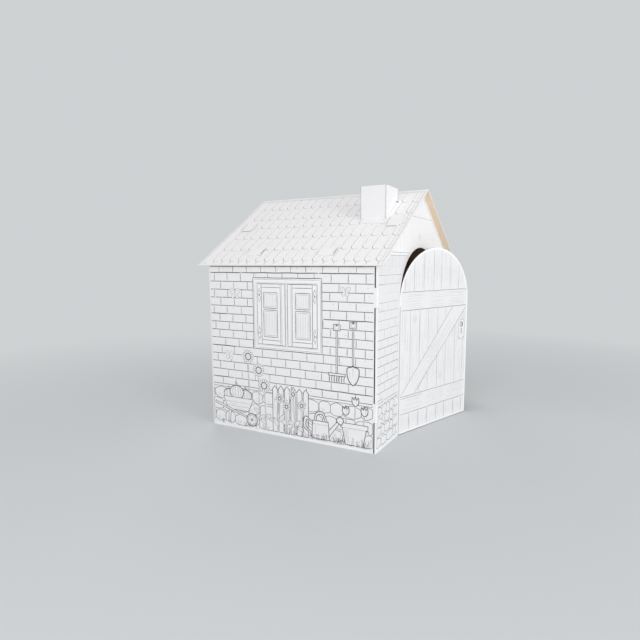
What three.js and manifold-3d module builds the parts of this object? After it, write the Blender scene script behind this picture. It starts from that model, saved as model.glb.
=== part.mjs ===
// Colour-in playhouse of die-cut corrugated board, in millimetres, +Z up, with its door gable facing -Y.
// Two side walls and two gables stand on edge, a roof sheet folded at the ridge lies on them, and a
// folded chimney stands on the roof. Every sheet holds its neighbour by locking tabs: a neck passes
// through a slit or a notch, folds over, and its wider head keeps it from slipping back.
// The door and the four shutters turn on creases, which are left open here as fine gaps.
import * as THREE from 'three';
import { mergeVertices } from 'three/addons/utils/BufferGeometryUtils.js';
import Module from 'manifold-3d';

const wasm = await Module();
wasm.setup();

// Board
const board = 4; // thickness of the corrugated sheet
const seat = 0.3; // air between two sheets that touch
const foldRadius = 1.5; // inside radius of a crease
const foldFacets = 4; // flats round a crease
const overrun = 20; // how far a cutting solid reaches past its work

// House
const houseLength = 820; // over the outer faces of the gables
const houseWidth = 1000; // over the outer faces of the side walls
const eaveHeight = 740; // the roof's top face, above a side wall's outer face
const ridgeHeight = 1070; // where the roof's two top faces would meet
const frontCornerGap = 5.5; // open strip between the end of a side wall and the front gable
const rearCornerGap = 1; // the same at the rear gable, up to which the walls are pushed
const apexFlat = 57; // width of the flat cut at a gable's top

// Roof
const frontOverhang = 30;
const rearOverhang = 55;
const eaveOverhang = 12;
const ridgeFoldRadius = 3;

// Window and shutters, one window in the middle of each side wall
const windowWidth = 306;
const windowHeight = 268;
const sillHeight = 391;
const shutterCorner = 5; // rounding of a shutter's free corners

// Door, one arched leaf in the middle of the front gable
const doorWidth = 520; // from the crease to the free edge
const doorSpring = 573; // where the arch starts
const doorRise = 237; // height of the arch
const doorFloorGap = 3;
const doorRest = THREE.MathUtils.degToRad(18.5); // how far the leaf stands open
const fingerHole = 31; // diameter
const fingerHoleInset = 49; // from the free edge to the hole's centre
const fingerHoleHeight = 447;
const creaseGap = 0.6; // air at a leaf's crease
const dieGap = 0.8; // air round a leaf's cut edges

// Locking tabs
const slitPlay = 1; // air on each side of a neck in its slit
const tabShoulder = 6; // how much wider the head is than the neck, on each side
const tabCorner = 9; // rounding of a head
const tabRoot = 12; // how far a tab's root reaches into its own sheet
const cornerTabNeck = 76;
const cornerTabLap = 72;
const lowerCornerTabHeight = 163;
const upperCornerTabHeight = 610;
const eaveTabNeck = 60;
const eaveTabLap = 52;
const eaveTabInset = 59; // from the side wall's outer face up the slope to the slit
const frontEaveTabPlace = 252; // from the front gable's outer face
const rearEaveTabPlace = 612;
const rakeTabNeck = 64;
const rakeTabLap = 60;
const rakeTabShare = 0.48; // of the way down the slope from the ridge to the side wall

// Chimney
const chimneyAcross = 139; // size across the ridge
const chimneyAlong = 121; // size along the ridge
const chimneyFromRidge = 77; // from the ridge to the near face, level
const chimneyFromFront = 85; // from the front gable's outer face
const chimneyHeight = 141.5; // of its lower panel, from the slope to the top
const chimneyGlueFlap = 30;
const chimneyTabNeck = 116;
const chimneyNotch = 7; // relief cut beside the neck, at its upper end
const chimneyTabLap = 34;
const chimneyApronWidth = 85;
const chimneyApronLap = 40;

// Round forms
const archFacets = 48;
const holeFacets = 24;
const cornerFacets = 4;

const halfWidth = houseWidth / 2;
const halfLength = houseLength / 2;
const pitch = Math.atan2(ridgeHeight - eaveHeight, halfWidth);
const wallMiddle = halfWidth - board / 2;
const gableMiddle = halfLength - board / 2;
const cornerGap = (end) => (end < 0 ? frontCornerGap : rearCornerGap);
const wallSpan = houseLength - 2 * board - frontCornerGap - rearCornerGap;
const wallShift = (frontCornerGap - rearCornerGap) / 2; // from the middle of the house to its middle
const slopeToWall = halfWidth / Math.cos(pitch);
const eaveTabDown = slopeToWall - eaveTabInset;
const rakeTabDown = slopeToWall * rakeTabShare;
const lapHeight = board + seat; // from the middle of a sheet to the middle of one lying on it
const sides = [-1, 1];

const axisX = new THREE.Vector3(1, 0, 0);
const axisY = new THREE.Vector3(0, 1, 0);
const axisZ = new THREE.Vector3(0, 0, 1);

// The roof's slopes. side is -1 for the slope over the left wall and 1 for the other; down is
// measured along the slope from the ridge, and depth square to it, from its top face inwards.
const upSlope = (side) => new THREE.Vector3(-side * Math.cos(pitch), 0, Math.sin(pitch));
const roofNormal = (side) => new THREE.Vector3(side * Math.sin(pitch), 0, Math.cos(pitch));
const onRoof = (side, down, depth, y) =>
  new THREE.Vector3(0, y, ridgeHeight)
    .addScaledVector(upSlope(side), -down)
    .addScaledVector(roofNormal(side), -depth);
const roofHeight = (x, depth) => ridgeHeight - Math.abs(x) * Math.tan(pitch) - depth / Math.cos(pitch);

function solidFrom(geometry) {
  geometry.deleteAttribute('normal');
  geometry.deleteAttribute('uv');
  const merged = mergeVertices(geometry);
  return new wasm.Manifold(new wasm.Mesh({
    numProp: 3,
    vertProperties: new Float32Array(merged.attributes.position.array),
    triVerts: new Uint32Array(merged.index.array),
  }));
}

// A shape drawn on the directions across and up, extruded to both sides of its centre
function prism(shape, depth, across, up, centre, curveSegments = cornerFacets) {
  const along = across.clone().cross(up);
  const geometry = new THREE.ExtrudeGeometry(shape, { depth, bevelEnabled: false, curveSegments });
  const start = centre.clone().addScaledVector(along, -depth / 2);
  geometry.applyMatrix4(new THREE.Matrix4().makeBasis(across, up, along).setPosition(start));
  return solidFrom(geometry);
}

function rectangle(left, low, right, high) {
  const corners = [[left, low], [right, low], [right, high], [left, high]];
  return new THREE.Shape(corners.map(([x, y]) => new THREE.Vector2(x, y)));
}

// Outline of a strip of board along its middle line, with a round crease at each inner point
function foldedStrip(line, insideRadius = foldRadius) {
  const radius = insideRadius + board / 2;
  const outer = [];
  const inner = [];
  const put = (at, heading) => {
    const offset = new THREE.Vector2(-heading.y, heading.x).multiplyScalar(board / 2);
    outer.push(at.clone().add(offset));
    inner.unshift(at.clone().sub(offset));
  };
  const headings = line.slice(1).map((point, i) => point.clone().sub(line[i]).normalize());
  put(line[0], headings[0]);
  for (let i = 1; i < line.length - 1; i += 1) {
    const before = headings[i - 1];
    const turn = Math.atan2(before.cross(headings[i]), before.dot(headings[i]));
    const bend = Math.sign(turn) * radius;
    const start = line[i].clone().addScaledVector(before, -radius * Math.tan(Math.abs(turn) / 2));
    const centre = start.clone().add(new THREE.Vector2(-before.y, before.x).multiplyScalar(bend));
    for (let step = 0; step <= foldFacets; step += 1) {
      const heading = before.clone().rotateAround(new THREE.Vector2(), (turn * step) / foldFacets);
      put(centre.clone().add(new THREE.Vector2(heading.y, -heading.x).multiplyScalar(bend)), heading);
    }
  }
  put(line[line.length - 1], headings[headings.length - 1]);
  return new THREE.Shape([...outer, ...inner]);
}

// Face of a locking tab: a neck as wide as its slit lets through, then a head with shoulders
function tabFace(neck, lap, rootReach) {
  const half = neck / 2;
  const head = half + tabShoulder;
  const shoulder = board / 2 + slitPlay + foldRadius;
  const face = new THREE.Shape();
  face.moveTo(-rootReach, -half);
  face.lineTo(shoulder, -half);
  face.lineTo(shoulder + tabShoulder, -head);
  face.absarc(lap - tabCorner, tabCorner - head, tabCorner, -Math.PI / 2, 0);
  face.absarc(lap - tabCorner, head - tabCorner, tabCorner, 0, Math.PI / 2);
  face.lineTo(shoulder + tabShoulder, head);
  face.lineTo(shoulder, half);
  face.lineTo(-rootReach, half);
  return face;
}

// A locking tab. centre is where its neck crosses the middle of the sheet that it passes, normal
// points out of that sheet on the folded side, and out is the way the head then lies.
function lockingTab({ centre, out, normal, neck, lap, line }) {
  const width = neck + 2 * tabShoulder;
  const reach = Math.max(...line.map((point) => point.length())) + overrun;
  const across = out.clone().cross(normal);
  const strip = prism(foldedStrip(line), width, out, normal, centre);
  return strip.intersect(prism(tabFace(neck, lap, reach), 2 * reach, out, across, centre));
}

// Middle line of a tab that stands square to the sheet it passes, from a root `depth` behind it
const squareLine = (depth, lap) => [
  new THREE.Vector2(0, -depth),
  new THREE.Vector2(0, lapHeight),
  new THREE.Vector2(lap, lapHeight),
];

function slitCut({ centre, out, normal, neck }) {
  const halfGap = board / 2 + slitPlay;
  const halfSlit = neck / 2 + slitPlay;
  const gap = rectangle(-halfGap, -halfSlit, halfGap, halfSlit);
  return prism(gap, board + overrun, out, out.clone().cross(normal), centre);
}

// The three families of tabs, and the chimney's, each as the place that tab and slit share
const cornerTabs = (side, end) => [lowerCornerTabHeight, upperCornerTabHeight].map((height) => ({
  centre: new THREE.Vector3(side * wallMiddle, end * gableMiddle, height),
  out: axisX.clone().multiplyScalar(-side),
  normal: axisY.clone().multiplyScalar(end),
  neck: cornerTabNeck,
  lap: cornerTabLap,
  line: squareLine(board / 2 + cornerGap(end) + tabRoot, cornerTabLap),
}));

const eaveTabs = (side) => [frontEaveTabPlace, rearEaveTabPlace].map((place) => ({
  centre: onRoof(side, eaveTabDown, board / 2, place - halfLength),
  out: upSlope(side),
  normal: roofNormal(side),
  neck: eaveTabNeck,
  lap: eaveTabLap,
  line: [
    new THREE.Vector2(-foldRadius - board / 2 - tabRoot, -lapHeight),
    new THREE.Vector2(0, -lapHeight),
    new THREE.Vector2(0, lapHeight),
    new THREE.Vector2(eaveTabLap, lapHeight),
  ],
}));

const rakeTabs = (end) => sides.map((side) => ({
  centre: onRoof(side, rakeTabDown, board / 2, end * gableMiddle),
  out: axisY.clone().multiplyScalar(-end),
  normal: roofNormal(side),
  neck: rakeTabNeck,
  lap: rakeTabLap,
  line: squareLine(board / 2 + seat + tabRoot, rakeTabLap),
}));

const chimneyMiddle = new THREE.Vector2(
  -chimneyFromRidge - chimneyAcross / 2,
  chimneyFromFront + chimneyAlong / 2 - halfLength,
);
const chimneyTabs = () => sides.map((end) => ({
  centre: onRoof(
    -1,
    -chimneyMiddle.x / Math.cos(pitch),
    board / 2,
    chimneyMiddle.y + (end * (chimneyAlong - board)) / 2,
  ),
  out: axisY.clone().multiplyScalar(-end),
  normal: roofNormal(-1).negate(),
  neck: chimneyTabNeck,
  lap: chimneyTabLap,
  line: squareLine(board / 2 + seat + tabRoot, chimneyTabLap),
}));

const joinAll = (solid, others) => others.reduce((sum, other) => sum.add(other), solid);
const cutAll = (solid, others) => others.reduce((rest, other) => rest.subtract(other), solid);

// Side wall: a panel with a window, a flange folded in under the roof, two tabs up through the
// roof, and two tabs round each corner
function sideWall(side) {
  const flangeDepth = board + seat + board / 2;
  const foldDown = (wallMiddle + flangeDepth * Math.sin(pitch)) / Math.cos(pitch);
  const flangeEnd = onRoof(side, eaveTabDown + foldRadius + board / 2, flangeDepth, 0);
  const fold = onRoof(side, foldDown, flangeDepth, 0);
  const section = foldedStrip([
    new THREE.Vector2(side * wallMiddle, 0),
    new THREE.Vector2(fold.x, fold.z),
    new THREE.Vector2(flangeEnd.x, flangeEnd.z),
  ]);
  const panel = prism(section, wallSpan, axisX, axisZ, new THREE.Vector3(0, wallShift, 0));
  const opening = prism(
    rectangle(-windowWidth / 2, sillHeight, windowWidth / 2, sillHeight + windowHeight),
    board + overrun,
    axisY,
    axisZ,
    new THREE.Vector3(side * wallMiddle, 0, 0),
  );
  const tabs = [...eaveTabs(side), ...sides.flatMap((end) => cornerTabs(side, end))];
  return joinAll(panel.subtract(opening), tabs.map(lockingTab));
}

// The doorway's edge and the leaf's edge are the same arch, set off by their clearances
function archOutline(left, right, low, grow) {
  const arch = new THREE.Shape();
  arch.moveTo(left, low);
  arch.lineTo(right, low);
  arch.lineTo(right, doorSpring);
  arch.absellipse((left + right) / 2, doorSpring, (right - left) / 2, doorRise + grow, 0, Math.PI);
  arch.lineTo(left, low);
  return arch;
}

function gable(end, openings) {
  const edgeHeight = roofHeight(halfWidth, board + seat);
  const apexHeight = roofHeight(apexFlat / 2, board + seat);
  const outline = new THREE.Shape([
    new THREE.Vector2(-halfWidth, 0),
    new THREE.Vector2(halfWidth, 0),
    new THREE.Vector2(halfWidth, edgeHeight),
    new THREE.Vector2(apexFlat / 2, apexHeight),
    new THREE.Vector2(-apexFlat / 2, apexHeight),
    new THREE.Vector2(-halfWidth, edgeHeight),
  ]);
  const panel = prism(outline, board, axisX, axisZ, new THREE.Vector3(0, end * gableMiddle, 0));
  const notches = sides.flatMap((side) => cornerTabs(side, end)).map(slitCut);
  return joinAll(cutAll(panel, [...notches, ...openings]), rakeTabs(end).map(lockingTab));
}

function doorway() {
  const edge = archOutline(
    -(doorWidth + creaseGap) / 2,
    doorWidth / 2 + dieGap,
    -overrun,
    dieGap,
  );
  const centre = new THREE.Vector3(0, -gableMiddle, 0);
  return prism(edge, board + overrun, axisX, axisZ, centre, archFacets);
}

// Door leaf, with its crease on the Z axis and its outer face at y = 0
function doorLeaf() {
  const leaf = archOutline(creaseGap / 2, doorWidth, doorFloorGap, 0);
  const middle = new THREE.Vector3(0, board / 2, 0);
  const hole = new THREE.Shape();
  hole.absarc(doorWidth - fingerHoleInset, fingerHoleHeight, fingerHole / 2, 0, 2 * Math.PI);
  const panel = prism(leaf, board, axisX, axisZ, middle, archFacets);
  return panel.subtract(prism(hole, board + overrun, axisX, axisZ, middle, holeFacets));
}

// Shutter, with its crease on the Z axis; it reaches to `reach` along Y and inwards from x = 0
function shutter(side, reach) {
  const half = windowWidth / 2 - creaseGap / 2;
  const near = reach * (creaseGap / 2);
  const far = reach * (half - dieGap / 2);
  const top = windowHeight - dieGap;
  const face = new THREE.Shape();
  face.moveTo(near, dieGap);
  face.lineTo(far - reach * shutterCorner, dieGap);
  face.quadraticCurveTo(far, dieGap, far, dieGap + shutterCorner);
  face.lineTo(far, top - shutterCorner);
  face.quadraticCurveTo(far, top, far - reach * shutterCorner, top);
  face.lineTo(near, top);
  return prism(face, board, axisY, axisZ, new THREE.Vector3((-side * board) / 2, 0, 0));
}

function roof() {
  const eaveDown = (halfWidth + eaveOverhang) / Math.cos(pitch);
  const [left, right] = sides.map((side) => onRoof(side, eaveDown, board / 2, 0));
  const section = foldedStrip([
    new THREE.Vector2(left.x, left.z),
    new THREE.Vector2(0, roofHeight(0, board / 2)),
    new THREE.Vector2(right.x, right.z),
  ], ridgeFoldRadius);
  const length = houseLength + frontOverhang + rearOverhang;
  const centre = new THREE.Vector3(0, (rearOverhang - frontOverhang) / 2, 0);
  const tabs = [...sides.flatMap((side) => [...eaveTabs(side), ...rakeTabs(side)]), ...chimneyTabs()];
  return cutAll(prism(section, length, axisX, axisZ, centre), tabs.map(slitCut));
}

// Chimney: one strip folded round four corners with a glue flap inside its upper panel, cut to
// the slope, with an apron folded out down the slope and two tabs through the roof
function chimney() {
  const { x, y } = chimneyMiddle;
  const [low, high] = [x - (chimneyAcross - board) / 2, x + (chimneyAcross - board) / 2];
  const [front, rear] = [y - (chimneyAlong - board) / 2, y + (chimneyAlong - board) / 2];
  const plan = foldedStrip([
    new THREE.Vector2(high, rear + board / 2),
    new THREE.Vector2(high, front),
    new THREE.Vector2(low, front),
    new THREE.Vector2(low, rear),
    new THREE.Vector2(high - lapHeight, rear),
    new THREE.Vector2(high - lapHeight, rear - chimneyGlueFlap),
  ]);
  const footHeight = roofHeight(low - board / 2, 0) - overrun;
  const chimneyTop = roofHeight(low - board / 2, -seat) + chimneyHeight;
  const middle = new THREE.Vector3(0, 0, (footHeight + chimneyTop) / 2);
  const sleeve = prism(plan, chimneyTop - footHeight, axisX, axisY, middle);
  const slopeDown = (Math.abs(low) + overrun) / Math.cos(pitch);
  const under = [onRoof(-1, 0, -seat, 0), onRoof(-1, slopeDown, -seat, 0)];
  const wedge = new THREE.Shape([
    new THREE.Vector2(under[0].x, under[0].z),
    new THREE.Vector2(under[1].x, under[1].z),
    new THREE.Vector2(under[1].x, footHeight - overrun),
    new THREE.Vector2(under[0].x, footHeight - overrun),
  ]);
  const clearOfRoof = prism(wedge, chimneyAlong + overrun, axisX, axisZ, new THREE.Vector3(0, y, 0));
  const apronDepth = -(seat + board / 2);
  const apronDown = (-low + apronDepth * Math.sin(pitch)) / Math.cos(pitch);
  const apronFold = onRoof(-1, apronDown, apronDepth, 0);
  const apronEnd = onRoof(-1, apronDown + chimneyApronLap, apronDepth, 0);
  const apron = prism(foldedStrip([
    new THREE.Vector2(low, apronFold.z + tabRoot),
    new THREE.Vector2(apronFold.x, apronFold.z),
    new THREE.Vector2(apronEnd.x, apronEnd.z),
  ]), chimneyApronWidth, axisX, axisZ, new THREE.Vector3(0, y, 0));
  const relief = rectangle(-board, -chimneyNotch / 2, board, chimneyNotch / 2);
  const notches = chimneyTabs().map(({ centre }) => prism(
    relief,
    2 * chimneyNotch,
    axisY,
    upSlope(-1),
    centre
      .addScaledVector(upSlope(-1), (chimneyTabNeck + chimneyNotch) / 2)
      .addScaledVector(roofNormal(-1), board / 2 + seat),
  ));
  const body = cutAll(sleeve, [clearOfRoof, ...notches]);
  return joinAll(body, [apron, ...chimneyTabs().map(lockingTab)]);
}

const whitePrint = { color: 0xe9e9ec, roughness: 0.82, metalness: 0 };
const whiteRoof = { color: 0xeeeeee, roughness: 0.8, metalness: 0 };
const whitePlain = { color: 0xe6e6ea, roughness: 0.85, metalness: 0 };

const playhouse = new THREE.Group();
function piece(name, solid, finish) {
  const mesh = solid.getMesh();
  const geometry = new THREE.BufferGeometry();
  geometry.setAttribute('position', new THREE.BufferAttribute(mesh.vertProperties, 3));
  geometry.setIndex(new THREE.BufferAttribute(mesh.triVerts, 1));
  geometry.computeVertexNormals();
  const part = new THREE.Mesh(geometry, new THREE.MeshStandardMaterial(finish));
  part.name = name;
  playhouse.add(part);
  return part;
}

const sideNames = new Map([[-1, 'left'], [1, 'right']]);
for (const [side, sideName] of sideNames) {
  piece(`${sideName}_wall`, sideWall(side), whitePrint);
  for (const [end, endName] of [[-1, 'front'], [1, 'rear']]) {
    const leaf = piece(`${sideName}_wall_${endName}_shutter`, shutter(side, -end), whitePrint);
    leaf.position.set(side * halfWidth, end * (windowWidth - creaseGap) / 2, sillHeight);
  }
}
piece('front_gable', gable(-1, [doorway()]), whitePrint);
piece('rear_gable', gable(1, []), whitePrint);
piece('roof', roof(), whiteRoof);
piece('chimney', chimney(), whitePlain);
const door = piece('door', doorLeaf(), whitePrint);
door.position.set(-doorWidth / 2, -halfLength, 0);
door.rotation.z = -doorRest;

// The origin lies on the floor under the middle of the whole, with the door standing open
const frontReach = Math.max(frontOverhang, doorWidth * Math.sin(doorRest));
playhouse.position.y = (frontReach - rearOverhang) / 2;

export default playhouse;
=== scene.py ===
import math
import random

import bpy
from mathutils import Matrix, Vector


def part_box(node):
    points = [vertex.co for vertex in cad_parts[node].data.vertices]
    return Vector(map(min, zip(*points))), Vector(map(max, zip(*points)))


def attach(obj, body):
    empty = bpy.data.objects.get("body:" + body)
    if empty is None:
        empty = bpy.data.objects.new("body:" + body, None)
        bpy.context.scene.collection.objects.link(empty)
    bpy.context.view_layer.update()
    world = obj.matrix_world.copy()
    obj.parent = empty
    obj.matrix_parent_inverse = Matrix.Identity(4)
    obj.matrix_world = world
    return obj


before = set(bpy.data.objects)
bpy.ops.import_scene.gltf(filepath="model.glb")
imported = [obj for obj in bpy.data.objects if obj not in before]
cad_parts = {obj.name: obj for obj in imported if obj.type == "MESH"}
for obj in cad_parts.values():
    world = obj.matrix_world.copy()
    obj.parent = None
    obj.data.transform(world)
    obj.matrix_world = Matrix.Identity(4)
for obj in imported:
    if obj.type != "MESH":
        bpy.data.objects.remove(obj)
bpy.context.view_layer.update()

# Side walls. Each is one die-cut sheet of single-wall corrugated board, four millimetres thick, with
# a white coated liner outside and a brown one inside. Bricks, a window frame and a strip of garden
# are printed on it in grey line, for a child to colour in. The print is measured in millimetres from
# the front corner and from the floor.
WALL_FACE = 0.5
FRONT_FACE = -0.355
REAR_FACE = 0.465
WALL_TINT = (0.866, 0.863, 0.873)
WALL_PLAIN = (0.920, 0.918, 0.926)
WHITE_PLAIN = (0.875, 0.873, 0.882)
GABLE_TINT = (0.808, 0.806, 0.815)
ROOF_TINT = (0.925, 0.910, 0.912)
KRAFT = (0.60, 0.45, 0.315)
CORE = (0.80, 0.77, 0.73)
# The walls' cut edges: the brown core, with painted shade that darkens the gaps at the corners.
WALL_SHADED_RIM = (0.50, 0.45, 0.38)
# Painted shade on the cut edges of the places that a board's heads pick out, mostly tab heads.
HEAD_EDGE_SHADE = (0.50, 0.49, 0.47)
FOLD_SHADE = (0.16, 0.16, 0.17)
CLOUD_GREY = (0.70, 0.70, 0.74)
FIBRE_GREY = (0.62, 0.62, 0.64)
# Painted shade where the tabs come up through the roof and bend, on their side that faces down the slope.
EAVE_BEND_SHADE = (0.83, 0.82, 0.825)
FLUTE = 0.008
INK_RISE = 0.12
INK_END = 0.7
RIDGE_TOP = 1.07
ROOF_RISE = 0.66
PITCH = math.atan(ROOF_RISE)
FOOT_MARGIN = 0.009
PLUMB = Vector((0, 0, 1))


def alone(obj):
    """Makes this object the only one selected."""
    bpy.ops.object.select_all(action="DESELECT")
    obj.select_set(True)
    bpy.context.view_layer.objects.active = obj


class Shader:
    """A material's nodes, each put in by a short call."""

    def __init__(self, name):
        self.material = bpy.data.materials.new(name)
        self.material.use_nodes = True
        self.tree = self.material.node_tree
        self.surface = self.tree.nodes["Principled BSDF"]
        self.place = self.node("ShaderNodeTexCoord").outputs

    def node(self, kind, **settings):
        made = self.tree.nodes.new(kind)
        for setting, value in settings.items():
            setattr(made, setting, value)
        return made

    def fill(self, sockets, values):
        for socket, value in zip(sockets, values):
            if isinstance(value, bpy.types.NodeSocket):
                self.tree.links.new(value, socket)
            elif value is not None:
                socket.default_value = value

    def math(self, operation, *values):
        made = self.node("ShaderNodeMath", operation=operation)
        self.fill(made.inputs, values)
        return made.outputs[0]

    def vector(self, operation, *values):
        made = self.node("ShaderNodeVectorMath", operation=operation)
        self.fill(made.inputs, values)
        return made.outputs

    def times(self, first, *others):
        for value in others:
            first = self.math("MULTIPLY", first, value)
        return first

    def most(self, first, *others):
        for value in others:
            first = self.math("MAXIMUM", first, value)
        return first

    def dot(self, first, second):
        return self.vector("DOT_PRODUCT", first, second)["Value"]

    def along(self, direction, source="Object"):
        return self.dot(self.place[source], tuple(direction))

    def away_from(self, point):
        return self.vector("SUBTRACT", self.place["Object"], point)["Vector"]

    def mix(self, share, first, second):
        made = self.node("ShaderNodeMix", data_type="RGBA")
        colours = [(*c, 1) if isinstance(c, tuple) else c for c in (first, second)]
        self.fill([made.inputs["Factor"]], [share])
        self.fill(made.inputs[6:8], colours)
        return made.outputs[2]

    def noise(self, scale, stretch=(1, 1, 1), detail=2.0, roughness=0.5):
        spread = self.node("ShaderNodeMapping")
        self.fill(spread.inputs, [self.place["Object"]])
        spread.inputs["Scale"].default_value = stretch
        made = self.node("ShaderNodeTexNoise")
        self.fill([made.inputs["Vector"]], [spread.outputs[0]])
        made.inputs["Scale"].default_value = scale
        made.inputs["Detail"].default_value = detail
        made.inputs["Roughness"].default_value = roughness
        return made.outputs[0]

    def range(self, value, low, high, to_low=0.0, to_high=1.0):
        made = self.node("ShaderNodeMapRange")
        self.fill(made.inputs, [value, low, high, to_low, to_high])
        return made.outputs[0]

    def finish(self, colour, roughness, height, depth):
        self.fill([self.surface.inputs["Base Color"]], [colour])
        self.fill([self.surface.inputs["Roughness"]], [roughness])
        bump = self.node("ShaderNodeBump")
        bump.inputs["Strength"].default_value = 0.6
        bump.inputs["Distance"].default_value = depth
        self.fill([bump.inputs["Height"]], [height])
        self.fill([self.surface.inputs["Normal"]], [bump.outputs[0]])
        return self.material


def shade(colour, share):
    """The same colour, darker or lighter by this share."""
    return tuple(share * part for part in colour)


def board(name, outside, flutes, printed=None, folds=None, heads=(), tint=WALL_TINT, plain=WHITE_PLAIN,
          brown=KRAFT, rim=WHITE_PLAIN, core=CORE):
    """Corrugated board. outside gives, from the shader, how far a face looks out of the house: above
    0.5 it is the white liner, below -0.5 the brown one, and between them a cut edge, whose liners are
    rim and whose flutes are core. flutes is the direction across the flutes. printed is the part of
    the white liner that has the print's tint, and folds where shade is painted along creases. heads
    pairs places, mostly tab heads, with the colour that they have instead, some of it painted light
    or shade, and the cut edges there are painted in shade."""
    s = Shader(name)
    looks_out = outside(s)
    is_white = s.math("GREATER_THAN", looks_out, 0.5)
    is_brown = s.math("LESS_THAN", looks_out, -0.5)
    clouds = s.noise(7, detail=3)
    fibres = s.noise(420, stretch=(1, 1, 0.35), detail=3, roughness=0.7)
    specks = s.noise(1500, detail=1)
    wave = s.math("SINE", s.times(s.along(flutes), 2 * math.pi / FLUTE))
    tinted = s.mix(printed(s), plain, tint) if printed else plain
    # Some of these colours are painted light or shade.
    for where, lying_on in heads:
        tinted = s.mix(where(s), tinted, lying_on)
    uneven = s.mix(s.range(clouds, 0.35, 0.7, 0.0, 0.05), tinted, CLOUD_GREY)
    white = s.mix(s.range(fibres, 0.35, 0.75, 0.0, 0.05), uneven, FIBRE_GREY)
    pale = s.mix(s.range(fibres, 0.3, 0.7), brown, shade(brown, 0.86))
    kraft = s.mix(s.range(specks, 0.62, 0.72, 0.0, 0.6), pale, shade(brown, 0.62))
    striped = s.mix(s.range(wave, -1.0, 1.0, 0.0, 0.3), kraft, shade(brown, 1.08))
    edge = s.mix(s.range(wave, -0.2, 0.6), core, shade(core, 0.83))
    cut = s.mix(s.range(fibres, 0.4, 0.7, 0.0, 0.45), rim, edge)
    # The cut edges of those places get painted shade.
    for where, _ in heads:
        cut = s.mix(where(s), cut, HEAD_EDGE_SHADE)
    # Painted shade along the creases.
    if folds:
        white = s.mix(folds(s), white, FOLD_SHADE)
    colour = s.mix(is_brown, s.mix(is_white, cut, white), striped)
    roughness = s.range(fibres, 0.2, 0.8, 0.68, 0.9)
    height = s.math("ADD", s.times(wave, 0.25), fibres)
    s.surface.inputs["Specular IOR Level"].default_value = 0.3
    return s.finish(colour, roughness, height, 0.00012)


def ink(name, grey):
    """Grey printing ink, a little uneven where the plate pressed less."""
    s = Shader(name)
    patchy = s.noise(60, detail=3, roughness=0.6)
    grain = s.noise(900, detail=1)
    worn = tuple(c + (0.75 - c) * 0.22 for c in grey)
    colour = s.mix(s.range(patchy, 0.35, 0.7), grey, worn)
    s.surface.inputs["Specular IOR Level"].default_value = 0.25
    return s.finish(s.mix(s.range(grain, 0.55, 0.75, 0.0, 0.3), colour, worn), 0.62, grain, 0.00003)


def slope_out(side):
    """The direction square to a slope of the roof, out of the house. side is -1 for the left one."""
    return (side * math.sin(PITCH), 0, math.cos(PITCH))


def slope_down(side):
    """The direction down a slope."""
    return (side * math.cos(PITCH), 0, -math.sin(PITCH))


def above_roof(s, side):
    """1 on what stands more than a tenth of a millimetre above this slope: the heads of its tabs."""
    return s.math("GREATER_THAN", s.along(slope_out(side)), RIDGE_TOP * math.cos(PITCH) + 0.0001)


def bent(s, head, direction):
    """1 where the white liner of a tab bends over to its head, on the side that faces this way, which is
    painted in shade.
    """
    return s.times(head, s.math("GREATER_THAN", s.along(direction, "Normal"), 0.3))


def outward(direction):
    """How far a face looks out, for a flat sheet that faces one way."""
    return lambda s: s.along(direction, "Normal")


def curved(points, steps=5):
    """A smooth line through the points; it closes if they end where they start."""
    closed = points[0] == points[-1]
    ring = points[:-1] if closed else points
    count = len(ring)
    pick = (lambda i: ring[i % count]) if closed else (lambda i: ring[min(max(i, 0), count - 1)])
    line = []
    for i in range(count if closed else count - 1):
        a, b, c, d = (Vector(pick(i + k)) for k in (-1, 0, 1, 2))
        for step in range(steps):
            t = step / steps
            line.append(tuple(0.5 * (
                2 * b + (c - a) * t + (2 * a - 5 * b + 4 * c - d) * t ** 2
                + (3 * b - a - 3 * c + d) * t ** 3
            )))
    return line + [tuple(pick(0) if closed else ring[-1])]


def dense(points, step):
    """The same line with points no further apart than step."""
    line = [points[0]]
    for start, end in zip(points, points[1:]):
        count = max(1, math.ceil(math.dist(start, end) / step))
        line += [tuple(Vector(start).lerp(Vector(end), i / count)) for i in range(1, count + 1)]
    return line


def covers(outline, point):
    """True where the point is inside the outline."""
    x, y = point
    hit = False
    for (x0, y0), (x1, y1) in zip(outline, outline[1:] + outline[:1]):
        if (y0 > y) != (y1 > y) and x < (x1 - x0) * (y - y0) / (y1 - y0) + x0:
            hit = not hit
    return hit


def cut_out(lines, outline, inside, step=2.5, shortest=5):
    """What is left of the lines inside an outline, or outside it."""
    xs, ys = zip(*outline)
    left = []
    for weight, points in lines:
        px, py = zip(*points)
        if max(px) < min(xs) or min(px) > max(xs) or max(py) < min(ys) or min(py) > max(ys):
            if not inside:
                left.append((weight, points))
            continue
        line = dense(points, step)
        shows = [covers(outline, point) == inside for point in line]
        if all(shows):
            left.append((weight, points))
            continue
        run = []
        for point, open_to_view in zip(line + line[:1], shows + [False]):
            if open_to_view:
                run.append(point)
            else:
                if (len(run) - 1) * step > shortest:
                    left.append((weight, run))
                run = []
    return left


def behind(lines, outline):
    """What still shows of the lines when a shape with this outline is drawn over them."""
    return cut_out(lines, outline, False)


def over(lines, shape, outline):
    """Draws a shape over what is there already."""
    return behind(lines, outline) + shape


def straight(points, slack=0.12):
    """Drops the points that lie on the line between their neighbours."""
    kept = [points[0]]
    for i in range(1, len(points) - 1):
        start, middle, end = Vector(kept[-1]), Vector(points[i]), Vector(points[i + 1])
        chord = end - start
        if chord.length < 1e-6 or abs(chord.cross(middle - start)) / chord.length > slack:
            kept.append(points[i])
    return kept + [points[-1]]


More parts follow.
